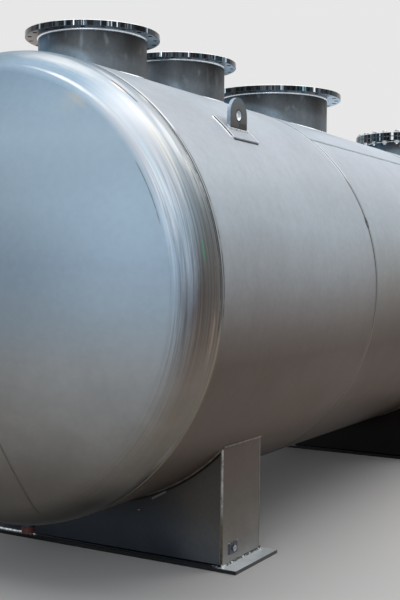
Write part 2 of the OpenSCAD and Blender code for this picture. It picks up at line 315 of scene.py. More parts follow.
def makeShellSteel(name, onPads=False):
    look = shellLook
    material, surface, coords, axes = startMaterial(name, look["metallic"], look["roughness"])
    height = heightShare(axes)
    clouds = noise(coords, 1.3, 3.0)
    waver = (clouds - 0.5) * 0.05
    # painted shade: the tones by height run from light at the top to dark brown at the bottom
    colour = ramp(height + waver, look["tones"])
    # painted shade on the lower half and painted sheen on the top of the middle courses
    inMiddle = fade(abs(axes[0]), 2.0, 3.0)
    colour = blend(inMiddle * fade(height, 0.40, 0.70), colour, look["middleShade"], "MULTIPLY")
    colour = blend(inMiddle * ease(height, 0.62, 0.98), colour, look["middleSheen"], "MULTIPLY")
    turn = roundAxis(axes)[1]
    runs = noise(joinAxes(axes[0] * 9.0, turn), 1.6, 5.0, 0.6)
    colour = mottled(tinted(colour, runs, 0.975, 1.025), coords, look["mottle"])
    colour = seamMarks(colour, axes, height, noise(coords, 5.0, 3.0, 0.7))
    degrees = calc("DEGREES", turn)
    blotches = ease(noise(coords, 55.0, 3.0, 0.7), 0.40, 0.54)
    for course, longTurn in enumerate(longTurns):
        beside = strip(degrees + longTurn, 0.0, 0.60, 0.50)
        inCourse = between(axes[0], seams[course] + 0.02, seams[course + 1] - 0.02, 0.01)
        colour = blend(beside * inCourse * blotches * 0.75, colour, look["longMark"])
    colour = nicked(colour, coords, axes, degrees)
    if onPads:
        # a painted highlight line and painted shade on the edge at the pads' ends
        along = alongLugs(axes)
        colour = blend(ease(along, *look["padHighlightLine"]), colour, look["edgeHighlight"])
        colour = blend(ease(along, *look["padShadeEdge"]), colour, look["seamLine"])
    dress(surface, colour, ease(clouds, 0.2, 0.8, 0.40, 0.54))
    bumped(surface, noise(coords, 34.0, 3.0, 0.7), 0.12, 0.001)
    return material


headLook = {
    "metallic": 0.35, "roughness": 0.48, "kneeRadius": 0.24, "kneeCentre": 0.96, "straight": 0.04,
    "tones": [(0.05, (96, 91, 83)), (0.125, (111, 105, 98)), (0.19, (134, 130, 125)), (0.26, (150, 149, 147)),
              (0.35, (160, 163, 165)), (0.45, (147, 161, 172)), (0.55, (143, 162, 179)), (0.67, (159, 181, 198)),
              (0.8, (162, 184, 201)), (0.9, (136, 160, 180)), (1.0, (106, 134, 155))],
    "rimTones": [(0.0, (16, 14, 11)), (0.08, (36, 33, 27)), (0.146, (126, 119, 110)), (0.25, (146, 136, 123)),
                 (0.33, (139, 127, 117)), (0.41, (114, 102, 94)), (0.5, (94, 88, 85)), (0.587, (103, 105, 104)),
                 (0.66, (112, 122, 127)), (0.75, (160, 169, 175)), (0.86, (168, 175, 183)), (0.91, (150, 165, 178)),
                 (1.0, (96, 128, 152))],
    "mottle": [(1.1, 0.045), (4.0, 0.018), (30.0, 0.025)], "lowMottle": [(3.0, 0.05), (11.0, 0.035)],
    "paleHighlight": (234, 238, 245), "purple": (80, 74, 98), "lowMiddleShade": (0.86, 0.82, 0.78, 1.0),
    "strokes": {"across": 95.0, "round": 1.7, "dark": 0.26, "light": 0.22},
    # soft patches of painted highlight and reflection: place over the knuckle and half width, degrees from the top
    # and reach, share, colour
    "patches": [(0.042, 0.012, 27, 20, 0.85, (238, 243, 247)), (0.067, 0.034, 60, 23, 0.80, (226, 242, 255)),
                (0.145, 0.062, 20, 21, 0.72, (208, 211, 214)), (0.153, 0.036, 53, 17, 0.80, (229, 230, 226)),
                (0.216, 0.028, 53, 11, 0.90, (214, 217, 220)), (0.215, 0.028, 33, 9, 0.75, (202, 205, 208)),
                (0.028, 0.026, 87, 16, 0.60, (124, 140, 154)), (0.095, 0.060, 84, 13, 0.62, (174, 190, 206)),
                (0.184, 0.012, 36, 4, 0.75, (250, 234, 216)), (0.315, 0.020, 40, 9, 0.30, (240, 242, 248)),
                (0.243, 0.021, 100, 11, 0.60, (160, 140, 118)), (0.268, 0.040, 130, 6.5, 0.90, (170, 162, 150)),
                (-0.015, 0.030, 32.5, 5, 0.55, (184, 184, 176)), (-0.055, 0.070, 31, 5, 0.25, (176, 182, 182)),
                (0.181, 0.008, 80, 4.5, 0.85, (58, 150, 104)), (0.285, 0.030, 40.5, 2.5, 0.80, (226, 227, 220)),
                (0.246, 0.016, 60.5, 3.5, 0.70, (216, 215, 204))],
    # thin dark lines: place, half width, degrees from and to, share
    "lines": [(0.000, 0.0014, 58, 71, 0.55), (0.250, 0.0018, 60, 94, 0.60), (0.289, 0.0040, 44, 97, 1.0),
              (0.284, 0.0090, 138, 141.5, 1.0)],
    "lineTone": (26, 28, 30),
    # two wavering scuffs: place, half width, softness, degrees from and to, their softness, share, colour
    "scuffs": [(0.196, 0.0030, 0.0020, 33.5, 41.5, 1.0, 0.95, (52, 46, 46)),
               (0.198, 0.0025, 0.003, 21.0, 33.0, 4.0, 0.45, (120, 122, 134))],
}


def makeHeadSteel():
    look = headLook
    material, surface, coords, axes = startMaterial("headSteel", look["metallic"], look["roughness"])
    far, turn = roundAxis(axes)
    height = heightShare(axes)
    degrees = calc("DEGREES", abs(turn))
    # over is the distance over the surface from the crown's edge towards the seam
    out = abs(axes[0]) - (seams[-1] + look["straight"])
    bend = calc("ARCTAN2", far - look["kneeCentre"], calc("MAXIMUM", out, 0.0))
    lean = math.asin(look["kneeCentre"] / (2 * shellRadius - look["kneeRadius"]))
    over = (bend - lean) * look["kneeRadius"] - calc("MINIMUM", out, 0.0)

    # painted light and shade: the crown's tones by height, brighter towards its rim, and darker low down towards
    # its middle
    crown = ramp(height, look["tones"])
    crown = greyed(crown, ease(far, 0.25, 0.9, 0.84, 1.0))
    crown = blend(fade(far, 0.4, 0.95) * fade(height, 0.25, 0.46), crown, look["lowMiddleShade"], "MULTIPLY")
    # the knuckle's tones by height carry painted shade too, nearly black at the bottom
    rim = ramp(height, look["rimTones"])
    shift = ease(height, 0.46, 0.66, 0.075, 0.0)
    colour = blend(ease(over + shift, 0.07, 0.24), crown, rim)
    colour = mottled(colour, coords, look["mottle"])
    lower = fade(height, 0.3, 0.5)
    for scale, share in look["lowMottle"]:
        colour = greyed(colour, 1.0 + lower * ease(noise(coords, scale, 2.0, 0.5), 0.25, 0.75, -share, share))

    # brushed round the knuckle, with painted highlights and reflections laid over the brushing
    inBand = ease(over, 0.0, 0.03)
    brush = look["strokes"]
    round1, round2 = calc("SINE", turn) * brush["round"], calc("COSINE", turn) * brush["round"]
    strokes = noise(joinAxes(over * brush["across"], round1, round2), 1.0, 3.0, 0.6)
    fine = noise(joinAxes(over * 60.0, round1 * 5.0, round2 * 5.0), 1.0, 3.0, 0.6)
    waver = (fine - 0.5) * 0.9
    slanted = degrees + (over - 0.10) * 60.0 + waver * 14.0
    # a broad painted highlight over the knuckle
    paleHighlight = ease(degrees, 26.0, 48.0) * fade(slanted, 54.0, 80.0)
    colour = blend(paleHighlight * strip(over, 0.096, 0.046, 0.058) * 0.85, colour, look["paleHighlight"])
    for place, half, middleTurn, reach, share, tone in look["patches"]:
        colour = blend(oval(over, place, half, degrees, middleTurn, reach, waver) * share, colour, tone)
    purple = oval(over, 0.10, 0.10, degrees, 91.0, 10.0) * ease(strokes, 0.48, 0.60) * 0.40
    colour = blend(purple, colour, look["purple"])
    stronger = fade(over, 0.12, 0.18) * ease(degrees, 50.0, 64.0) * 0.6
    strength = inBand * (between(degrees, 66, 98, 16) + 0.22) * (1.0 + stronger)
    colour = tinted(colour, strokes, 1.0 - strength * brush["dark"], 1.0 + strength * brush["light"])

    worn = ease(noise(coords, 9.0, 4.0, 0.7), 0.36, 0.56)
    for place, half, fromTurn, toTurn, share in look["lines"]:
        mask = strip(over, place, half, 0.002) * between(degrees, fromTurn, toTurn, 3) * share
        colour = blend(mask * worn, colour, look["lineTone"])
    bent = over + waver * 0.012
    for place, half, soft, fromTurn, toTurn, turnSoft, share, tone in look["scuffs"]:
        mask = strip(bent, place, half, soft) * between(degrees, fromTurn, toTurn, turnSoft) * share
        colour = blend(mask, colour, tone)
    dress(surface, colour, 0.5 - inBand * 0.14)
    bumped(surface, strokes, 0.08, 0.001)
    return material


pipeLook = {
    "metallic": 0.60, "roughness": 0.44,
    "tones": [(0.0, (108, 117, 124)), (0.35, (102, 110, 117)), (0.6, (86, 92, 96)), (1.0, (68, 71, 74))],
    "glow": (128, 148, 162), "smudge": (136, 146, 154), "blueReflection": (68, 110, 140), "asideShade": (0.30, 0.27, 0.25, 1.0),
    "behind": (-3.27, -3.09), "shieldedLight": (126, 134, 142),   # the second pipe's side towards the first
}


def makePipeSteel():
    look = pipeLook
    material, surface, coords, axes = startMaterial("pipeSteel", look["metallic"], look["roughness"])
    rise = axes[2] - (axisHeight + shellRadius)
    # painted reflection of the shell: each pipe is lighter towards its foot
    colour = ramp(ease(rise, -0.08, 0.2), look["tones"])
    smears = noise(joinAxes(axes[0], axes[1], axes[2] * 0.45), 9.0, 4.0, 0.6)
    colour = tinted(colour, smears, 0.72, 1.26)
    facing = facingAxes(surface)
    front = abs(facing[0])
    # painted reflection: the pale arch that the tank's own crown throws on each pipe
    level = rise + (1.0 - front) * 0.45 + (smears - 0.5) * 0.06
    arch = fade(level, 0.08, 0.125) * ease(front, 0.50, 0.85) * 0.45
    colour = blend(arch, colour, look["glow"])
    # a painted blue reflection on the sides turned towards +Y
    blueReflection = ease(facing[1], -0.05, 0.55) * fade(facing[1], 0.78, 0.98) * 0.75
    colour = blend(blueReflection, colour, look["blueReflection"])
    smudges = noise(joinAxes(axes[0], axes[1], axes[2] * 0.5), 19.0, 1.0, 0.4)
    smudges = ease(smudges, 0.58, 0.78) * between(rise, 0.07, 0.15, 0.05) * 0.6
    colour = blend(smudges, colour, look["smudge"])
    lit = ease(rise, 0.02, 0.13, 0.45, 1.0)   # the shell lights each pipe's foot
    # painted shade on the sides facing -Y, weaker at the foot
    asideShade = fade(front, 0.15, 0.60) * fade(facing[1], -0.70, -0.40) * lit
    colour = blend(asideShade, colour, look["asideShade"], "MULTIPLY")
    # painted light on the second pipe's side towards the first, which shades it
    behind = between(axes[0], *look["behind"], 0.08) * ease(facing[1], -0.62, 0.10)
    colour = blend(behind, colour, look["shieldedLight"])
    spots = noise(coords, 46.0, 2.0)
    colour = tinted(colour, spots, 0.92, 1.08)
    dress(surface, colour, ease(smears, 0.3, 0.7, 0.38, 0.54))
    bumped(surface, spots, 0.08, 0.0008)
    return material


flangeLook = {
    "rim": [(0.0, (8, 9, 11)), (0.47, (20, 22, 25)), (0.50, (78, 86, 94)), (0.53, (22, 25, 28)),
            (0.58, (40, 45, 50)), (0.61, (170, 190, 205)), (0.63, (252, 253, 255))],
    "face": [(0.3, (124, 130, 136)), (0.7, (144, 150, 156))],
    "under": [(0.0, (214, 229, 240)), (0.28, (136, 148, 156)), (0.45, (52, 53, 54)), (0.62, (66, 63, 61)),
              (1.0, (150, 137, 129))],
    "topEdgeHighlight": (246, 249, 252), "lowEdgeShade": (96, 104, 110), "tealReflection": (0.58, 0.92, 1.0, 1.0), "glint": (200, 206, 210),
}


def makeFlangeSteel():
    # Turned faces and broken edges, with painted reflections: a dark rim with a few bright blocks, a painted
    # reflection with glints underneath, and a painted highlight on the upward edges
    look = flangeLook
    material, surface, coords, axes = startMaterial("flangeSteel", 0.9, 0.24)
    facing = facingAxes(surface)
    upright = abs(facing[2])
    flatPlace = joinAxes(axes[0], axes[1], 0.0)
    # painted reflections round the rim: dark, with bright and teal blocks
    rim = ramp(noise(flatPlace, 21.0, 3.0, 0.7), look["rim"])
    rim = blend(ease(noise(flatPlace, 6.0, 2.0), 0.50, 0.60), rim, look["tealReflection"], "MULTIPLY")
    rings = noise(flatPlace, 26.0, 4.0, 0.7)
    # painted reflection under the flange, with painted glints
    under = tinted(ramp(ease(axes[1], -0.42, 0.42), look["under"]), rings, 0.70, 1.25)
    glints = ease(noise(flatPlace, 70.0, 1.0), 0.64, 0.70) * between(axes[1], -0.25, 0.3, 0.05) * 0.7
    under = blend(glints, under, look["glint"])
    face = blend(fade(facing[2], -0.9, -0.8), ramp(rings, look["face"]), under)
    # painted highlight on the upward edges, painted shade on the downward ones
    edge = blend(ease(facing[2], -0.1, 0.1), look["lowEdgeShade"], look["topEdgeHighlight"])
    colour = blend(ease(upright, 0.3, 0.4), rim, tinted(edge, rings, 0.6, 1.1))
    colour = blend(ease(upright, 0.84, 0.9), colour, face)
    dress(surface, colour, ease(upright, 0.3, 0.9, 0.2, 0.34))
    return material


def finishPlate(surface, coords, colour, cut, edge, roughness):
    clouds = noise(coords, 3.4, 4.0)
    specks = noise(coords, 42.0, 3.0, 0.7)
    colour = tinted(tinted(colour, clouds, 0.90, 1.10), specks, 0.94, 1.06)
    colour = blend(cut, colour, tinted(edge, specks, 0.8, 1.2))
    dress(surface, colour, ease(clouds, 0.3, 0.7, roughness - 0.06, roughness + 0.08))
    bumped(surface, specks, 0.1, 0.0008)


def makePlateSteel(name, metallic, roughness, tones, tall, edgeColour, edgeAxis):
    # Mill plate: tones by height, and another tone where it was cut; edgeAxis is the plate's own normal
    material, surface, coords, axes = startMaterial(name, metallic, roughness)
    waver = (noise(coords, 2.6, 2.0) - 0.5) * 0.35
    share = axes[2] / tall + waver
    cut = cutEdge(abs(facingAxes(surface)[edgeAxis]))
    finishPlate(surface, coords, ramp(share, tones), cut, edgeColour, roughness)
    return material


webLook = {
    "dark": [(0.0, (46, 53, 62)), (0.25, (50, 57, 66)), (0.5, (46, 48, 51)), (1.0, (54, 52, 50))],
    "light": [(0.0, (88, 95, 102)), (0.25, (88, 88, 88)), (0.5, (80, 76, 72)), (1.0, (84, 78, 74))],
    "tall": 0.66, "edge": (120, 118, 116), "middle": (0.22, 0.15, 0.11, 1.0), "shade": (6, 6, 6),
    "streakReflection": (132, 130, 127),
}


def makeWebSteel():
    # The webs are lighter towards their ends
    look = webLook
    material, surface, coords, axes = startMaterial("webSteel", 0.6, 0.42)
    share = axes[2] / look["tall"]
    side = abs(axes[1]) + (share - 0.5) * 0.25 + (noise(coords, 3.0, 2.0) - 0.5) * 0.2
    colour = blend(ease(side, 0.36, 0.80), ramp(share, look["dark"]), ramp(share, look["light"]))
    # painted shade: the middle saddle's webs much darker
    colour = blend(fade(abs(axes[0]), 0.5, 2.0), colour, look["middle"], "MULTIPLY")
    # a painted shadow line right under the shell
    underShell = ease(roundAxis(axes)[0], shellRadius + 0.015, shellRadius + 0.021, 0.9, 0.0)
    colour = blend(underShell, colour, look["shade"])
    # a slanting light streak on the front web, a painted reflection
    slant = axes[2] + axes[1] * 0.54
    streakReflection = strip(slant, 0.105, 0.004, 0.004) * between(axes[1], -0.505, -0.425, 0.010) * 0.75
    colour = blend(streakReflection * fade(axes[0], -3.84, -3.80), colour, look["streakReflection"])
    cut = cutEdge(abs(facingAxes(surface)[0]))
    finishPlate(surface, coords, colour, cut, look["edge"], 0.42)
    return material


baseLook = {"top": (240, 248, 252), "dark": (46, 54, 64), "front": (10, 11, 12), "end": (80, 81, 82)}


def makeBasePlateSteel():
    # Painted light: pale on top at its ends; dark on top between them, nearly black on its long sides
    look = baseLook
    material, surface, coords, axes = startMaterial("basePlateSteel", 0.15, 0.36)
    facing = facingAxes(surface)
    sides = blend(ease(abs(facing[0]), 0.4, 0.6), look["end"], look["front"])
    top = blend(ease(abs(axes[1]), 0.82, 0.89), look["dark"], look["top"])
    finishPlate(surface, coords, top, cutEdge(facing[2]), sides, 0.36)
    return material


lugLook = {"face": [(0.0, (72, 71, 70)), (0.45, (88, 92, 94)), (1.0, (95, 102, 106))], "stain": (26, 20, 16),
           "ring": (10, 11, 12), "edge": (150, 168, 186), "edgeShade": (90, 96, 102), "boreHighlight": (236, 240, 244)}


def makeLugSteel():
    look = lugLook
    material, surface, coords, axes = startMaterial("lugSteel", 0.5, 0.42)
    low, high = lugLow, lugHigh
    along = abs(axes[0]) - lugPlace
    up = axes[2] - (high.z - (high.x - low.x) / 2)   # above the eye's middle
    reach = calc("SQRT", along * along + up * up)
    colour = ramp(ease(axes[2], low.z, high.z), look["face"])
    stain = fade(along, -0.008, 0.004) * fade(axes[2], low.z + 0.034, low.z + 0.044) * 0.9
    colour = blend(stain, colour, look["stain"])
    # painted shade: a dark ring at the lug's foot and another round its eye
    colour = blend(ease(axes[2], low.z + 0.012, low.z + 0.018, 0.8, 0.0), colour, look["ring"])
    colour = blend(strip(reach, 0.0310, 0.0032, 0.0020), colour, look["ring"])
    facing = facingAxes(surface)
    cut = cutEdge(abs(facing[1]))
    # painted light on the cut edges, lit where they face -X and shaded where they face +X, with a painted highlight
    # in the eye's bore
    edge = blend(ease(facing[0] * -1.0, -0.3, 0.2), look["edgeShade"], look["edge"])
    edge = blend(fade(reach, 0.028, 0.029), edge, look["boreHighlight"])
    finishPlate(surface, coords, colour, cut, edge, 0.42)
    return material


def makeWeldSteel(name, low, high, metallic=0.8, roughness=0.3, patchSize=24.0):
    material, surface, coords, axes = startMaterial(name, metallic, roughness)
    patches = noise(coords, patchSize, 4.0, 0.7)
    colour = tinted(ramp(patches, [(0.32, low), (0.66, high)]), noise(coords, 5.0, 2.0), 0.85, 1.12)
    dress(surface, colour, ease(patches, 0.3, 0.7, roughness - 0.06, roughness + 0.12))
    return material


cornerLook = {
    "tones": [(0.0, (96, 88, 70)), (0.36, (88, 80, 64)), (0.5, (142, 140, 134)), (1.0, (160, 158, 152))],
    "tall": 0.66,
}


def makeCornerWeld():
    material, surface, coords, axes = startMaterial("cornerWeld", 0.6, 0.32)
    height = ease(axes[2], 0.0, cornerLook["tall"], kind="LINEAR")
    patches = noise(coords, 20.0, 3.0, 0.6)
    colour = tinted(ramp(height, cornerLook["tones"]), patches, 0.65, 1.35)
    dress(surface, colour, ease(patches, 0.3, 0.7, 0.26, 0.38))
    return material


girthLook = {
    "tones": [(0.0, (60, 56, 50)), (0.25, (126, 113, 99)), (0.38, (118, 105, 95)), (0.47, (94, 92, 90)),
              (0.6, (116, 122, 125)), (0.75, (118, 126, 131)), (0.9, (116, 125, 131)), (0.95, (172, 182, 190))],
    "dark": (34, 36, 39), "light": (240, 244, 248), "low": (158, 144, 124),
}


def makeGirthSteel():
    # Painted shade and highlight: above mid height the bead's flank towards the nearer head is dark, and the other
    # one light; the tones by height are painted shade, darker towards the bottom, and low down at the heads' seams
    # a painted reflection makes it lighter and tan
    look = girthLook
    material, surface, coords, axes = startMaterial("girthSteel", 0.4, 0.4)
    height = heightShare(axes)
    patches = noise(coords, 20.0, 3.0, 0.6)
    colour = tinted(ramp(height, look["tones"]), patches, 0.86, 1.14)
    outer = facingAxes(surface)[0] * calc("SIGN", axes[0])
    here = strip(nearestSeam(axes), 0.0, 0.012, 0.004)
    lowAtHead = atHeads(axes) * between(height, 0.14, 0.40, 0.07)
    colour = blend(here * lowAtHead * 0.9, colour, look["low"])
    upper = here * ease(height, 0.44, 0.62)
    colour = blend(upper * ease(outer, 0.08, 0.20) * 0.9, colour, look["dark"])
    light = ease(height, 0.70, 0.88, 0.35, 0.9)
    colour = blend(upper * light * fade(outer, -0.02, 0.08), colour, look["light"])
    colour = nicked(colour, coords, axes, calc("DEGREES", roundAxis(axes)[1]))
    dress(surface, colour, ease(patches, 0.3, 0.7, 0.34, 0.46))
    return material


padLook = {"tone": (160, 168, 174), "shade": (8, 9, 10), "bright": (246, 249, 252)}


def makePadWeld():
    # Painted light: bright where it faces along the tank, painted shade where it faces down the slope, and a
    # painted highlight at the pads' ends
    look = padLook
    material, surface, coords, axes = startMaterial("padWeld", 0.5, 0.35)
    facing = facingAxes(surface)
    patches = noise(coords, 24.0, 3.0, 0.6)
    colour = tinted(look["tone"], patches, 0.85, 1.15)
    colour = blend(fade(facing[2], 0.30, 0.56), colour, look["shade"])
    colour = blend(ease(abs(facing[0]), 0.25, 0.5), colour, look["bright"])
    colour = blend(ease(alongLugs(axes), 0.148, 0.152), colour, look["bright"])
    dress(surface, colour)
    return material


topLook = {"tones": [(0.32, (74, 66, 58)), (0.66, (140, 129, 117))], "flankShade": (10, 9, 8)}


def makeTopWeld():
    # Under the shell: tan, with painted shadow on its lower flank along the webs
    material, surface, coords, axes = startMaterial("topWeld", 0.5, 0.4)
    colour = ramp(noise(coords, 30.0, 4.0, 0.7), topLook["tones"])
    onWeb = fade(abs(axes[1]), 0.860, 0.864)
    flankShade = fade(abs(facingAxes(surface)[0]), 0.50, 0.72)
    colour = blend(onWeb * flankShade * 0.95, colour, topLook["flankShade"])
    dress(surface, colour)
    return material


footLook = {"stitches": [(0.0, (16, 18, 20)), (0.50, (30, 32, 34)), (0.56, (226, 230, 234))],
            "clean": [(0.3, (96, 110, 120)), (0.6, (240, 246, 250))], "dark": (22, 25, 29)}


def makeFootWeld():
    # The saddles' foot welds: dark with some bright stitches, bright all along the far half of the webs
    material, surface, coords, axes = startMaterial("footWeld", 0.8, 0.25)
    patches = noise(coords, 40.0, 3.0, 0.7)
    onWeb = ease(axes[1], 0.40, 0.50) * fade(axes[1], 0.84, 0.86)
    colour = blend(onWeb, ramp(patches, footLook["stitches"]), ramp(patches, footLook["clean"]))
    inDark = fade(axes[1], 0.36, 0.42) * ease(axes[1], -0.84, -0.80)
    colour = blend(inDark, colour, tinted(footLook["dark"], patches, 0.6, 1.6))
    dress(surface, colour)
    return material


earthLook = {"face": [(0.35, (62, 64, 74)), (0.65, (104, 106, 120))], "boss": (196, 202, 208)}


def makeEarthSteel():
    material, surface, coords, axes = startMaterial("earthSteel", 0.6, 0.36)
    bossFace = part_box("earthing_plate")[0].y
    colour = ramp(noise(coords, 60.0, 3.0, 0.7), earthLook["face"])
    raised = fade(axes[1], bossFace + 0.001, bossFace + 0.004)
    colour = blend(raised, colour, earthLook["boss"])
    dress(surface, colour)
    return material


def makeCapPlastic():
    material, surface, coords, axes = startMaterial("shadedCapPlastic", 0.0, 0.5)
    # the cap's own red, darkened with painted shade
    scuffs = noise(coords, 60.0, 4.0, 0.7)
    dress(surface, ramp(scuffs, [(0.3, (54, 10, 9)), (0.7, (84, 16, 13))]), ease(scuffs, 0.3, 0.7, 0.42, 0.6))
    return material


def makeGasketFibre():
    material, surface, coords, axes = startMaterial("gasketFibre", 0.0, 0.8)
    fibres = noise(coords, 90.0, 4.0, 0.7)
    dress(surface, ramp(fibres, [(0.3, (44, 45, 47)), (0.7, (66, 67, 70))]))
    bumped(surface, fibres, 0.2, 0.0006)
    return material


endPlateLook = {
    "tones": [(0.0, (150, 149, 145)), (0.12, (144, 143, 139)), (0.3, (128, 122, 116)), (0.5, (104, 98, 91)),
              (0.75, (94, 81, 73)), (1.0, (86, 72, 62))],
    "tall": 0.66, "edgeColour": (190, 188, 184), "edgeAxis": 1,
}

shellSteel = makeShellSteel("shellSteel")
padSteel = makeShellSteel("padSteel", True)
headSteel = makeHeadSteel()
pipeSteel = makePipeSteel()
flangeSteel = makeFlangeSteel()
webSteel = makeWebSteel()
endPlateSteel = makePlateSteel("endPlateSteel", 0.5, 0.44, **endPlateLook)
basePlateSteel = makeBasePlateSteel()
lugSteel = makeLugSteel()
weldSteel = makeWeldSteel("weldSteel", (108, 110, 112), (176, 180, 184))
brightWeld = makeWeldSteel("brightWeld", (150, 154, 158), (244, 246, 248), 0.9, 0.22)
cleanWeld = makeWeldSteel("cleanWeld", (222, 228, 233), (250, 252, 254), 1.0, 0.22)
lugWeld = makeWeldSteel("lugWeld", (120, 126, 134), (244, 247, 250), 0.7, 0.3, 40.0)
longWeld = makeWeldSteel("longWeld", (76, 96, 104), (150, 168, 174), 0.5, 0.4, 30.0)
topWeld = makeTopWeld()
# dark all over: painted shade, as the drain sits under the tank
shadedDrainSteel = makeWeldSteel("shadedDrainSteel", (34, 36, 38), (60, 62, 64), 0.5, 0.4)
boltSteel = makeWeldSteel("boltSteel", (140, 144, 148), (220, 224, 228), 0.9, 0.2)
girthSteel = makeGirthSteel()
cornerWeld = makeCornerWeld()
padWeld = makePadWeld()
footWeld = makeFootWeld()
earthSteel = makeEarthSteel()
shadedCapPlastic = makeCapPlastic()
gasketFibre = makeGasketFibre()

nodeMaterials = {"front_head": headSteel, "rear_head": headSteel, "head_joint_beads": girthSteel,
                 "girth_beads": girthSteel, "long_beads": longWeld, "nozzle_foot_beads": cleanWeld,
                 "cover_gasket": gasketFibre, "blind_cover": flangeSteel, "lug_pads": padSteel,
                 "drain_pipe": shadedDrainSteel, "drain_cap": shadedCapPlastic, "earthing_plate": earthSteel}
nodeMaterials.update({course: shellSteel for course in courses})
nodeMaterials.update({nozzle: pipeSteel for nozzle in nozzles})
nodeMaterials.update({flange: flangeSteel for flange in flanges})
nodeMaterials.update({lug: lugSteel for lug in lugs})
for saddle in saddles:
    nodeMaterials[saddle + "_front_web"] = webSteel
    nodeMaterials[saddle + "_rear_web"] = webSteel
    nodeMaterials[saddle + "_end_plates"] = endPlateSteel
    nodeMaterials[saddle + "_base_plate"] = basePlateSteel
for name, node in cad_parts.items():
    for materialSlot in node.material_slots:
        materialSlot.material = nodeMaterials[name]
print("materials made:", len(set(nodeMaterials.values())))


# Geometry Nodes helpers

def newGroup(name, inputs):
    group = bpy.data.node_groups.new(name, "GeometryNodeTree")
    group.interface.new_socket(name="Geometry", in_out="INPUT", socket_type="NodeSocketGeometry")
    for label, kind in inputs:
        group.interface.new_socket(name=label, in_out="INPUT", socket_type="NodeSocket" + kind)
    group.interface.new_socket(name="Geometry", in_out="OUTPUT", socket_type="NodeSocketGeometry")
    given = {output.name: Wire(output) for output in addNode(group, "NodeGroupInput").outputs}
    return group, given, addNode(group, "NodeGroupOutput").inputs[0]


def makePlain(name, startMesh, group, values):
    # Runs the tree on a start mesh and keeps what comes out as a plain mesh
    holder = bpy.data.objects.new(name, startMesh)
    scene.collection.objects.link(holder)
    modifier = holder.modifiers.new(name, "NODES")
    modifier.node_group = group
    for item in group.interface.items_tree:
        if item.item_type == "SOCKET" and item.in_out == "INPUT" and item.name in values:
            modifier[item.identifier] = values[item.name]
    depsgraph = bpy.context.evaluated_depsgraph_get()
    plain = bpy.data.meshes.new_from_object(holder.evaluated_get(depsgraph), depsgraph=depsgraph)
    holder.modifiers.remove(modifier)
    holder.data = plain
    return holder


def realize(group, geometry, finish, out):
    realized = addStep(group, "GeometryNodeRealizeInstances", {"Geometry": geometry})
    feed(out, addStep(group, "GeometryNodeSetMaterial", {"Geometry": realized, "Material": finish}))


# A weld bead with ripples, swept along a path that carries its own upward direction

def makeBeadGroup():
    group, given, out = newGroup("rippledBead", [
        ("Width", "Float"), ("Height", "Float"), ("Pitch", "Float"), ("Ripple", "Float"),
        ("Wander", "Float"), ("Seed", "Float"), ("Finish", "Material")])
    curve = addStep(group, "GeometryNodeMeshToCurve", {"Mesh": given["Geometry"]})
    spacing = {"Curve": curve, "Length": given["Pitch"] * 0.3}
    fine = addStep(group, "GeometryNodeResampleCurve", spacing, mode="LENGTH")
    upward = addStep(group, "GeometryNodeInputNamedAttribute", {"Name": "beadUp"}, data_type="FLOAT_VECTOR")
    turned = addStep(group, "GeometryNodeSetCurveNormal", {"Curve": fine, "Normal": upward}, mode="FREE")
    along = Wire(addNode(group, "GeometryNodeSplineParameter").outputs["Length"])
    wave = calc("SINE", along * math.pi / given["Pitch"])
    scallop = (abs(wave) - 0.6) * given["Ripple"]
    lumps = addStep(group, "ShaderNodeTexNoise", {"W": given["Seed"], "Scale": 22.0}, noise_dimensions="4D")
    size = scallop + (lumps - 0.5) * given["Wander"] + 1.0
    sized = addStep(group, "GeometryNodeSetCurveRadius", {"Curve": turned, "Radius": size})
    arc = addStep(group, "GeometryNodeCurveArc", {
        "Resolution": 7, "Radius": 1.0, "Start Angle": -math.pi / 2, "Sweep Angle": math.pi,
        "Connect Center": True}, mode="RADIUS")
    stretch = joinAxes(given["Height"], given["Width"] * 0.5, 1.0)
    profile = addStep(group, "GeometryNodeTransform", {"Geometry": arc, "Scale": stretch})
    swept = addStep(group, "GeometryNodeCurveToMesh", {"Curve": sized, "Profile Curve": profile, "Fill Caps": True})
    realize(group, addStep(group, "GeometryNodeSetShadeSmooth", {"Geometry": swept}), given["Finish"], out)
    return group


beadGroup = makeBeadGroup()


def sampled(path, count, closed=False):
    # path takes 0 to 1 and gives a point and its upward direction
    last = count if closed else count - 1
    return [path(step / last) for step in range(count)], closed


def pathMesh(name, chains):
    points, edges, ups = [], [], []
    for samples, closed in chains:
        start = len(points)
        points += [point for point, up in samples]
        ups += [component for point, up in samples for component in up.normalized()]
        edges += [(start + i, start + i + 1) for i in range(len(samples) - 1)]
        if closed:
            edges.append((start + len(samples) - 1, start))
    mesh = bpy.data.meshes.new(name)
    mesh.from_pydata(points, edges, [])
    mesh.attributes.new("beadUp", "FLOAT_VECTOR", "POINT").data.foreach_set("vector", ups)
    return mesh


def makeBeads(name, chains, width, height, pitch, ripple, wander, finish, seed=1.0):
    beads = makePlain(name, pathMesh(name + "Path", chains), beadGroup, {
        "Width": width, "Height": height, "Pitch": pitch, "Ripple": ripple,
        "Wander": wander, "Seed": seed, "Finish": finish})
    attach(beads, "root")
    print(name, "has", len(beads.data.polygons), "faces")
    return beads


def radial(turn):
    return Vector((0, -math.sin(turn), math.cos(turn)))


def onTank(x, turn, radius):
    return Vector((x, 0, axisHeight)) + radial(turn) * radius


def ringChain(x, radius):
    def path(share):
        turn = 2 * math.pi * share
        return onTank(x, turn, radius), radial(turn)
    return sampled(path, 720, True)


girthWelds = {"width": 0.016, "height": 0.0026, "pitch": 0.011, "ripple": 0.07, "wander": 0.12}
girth = makeBeads("girth_welds", [ringChain(seam, shellRadius - 0.0003) for seam in seams],
                  finish=girthSteel, **girthWelds)
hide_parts("girth_beads")


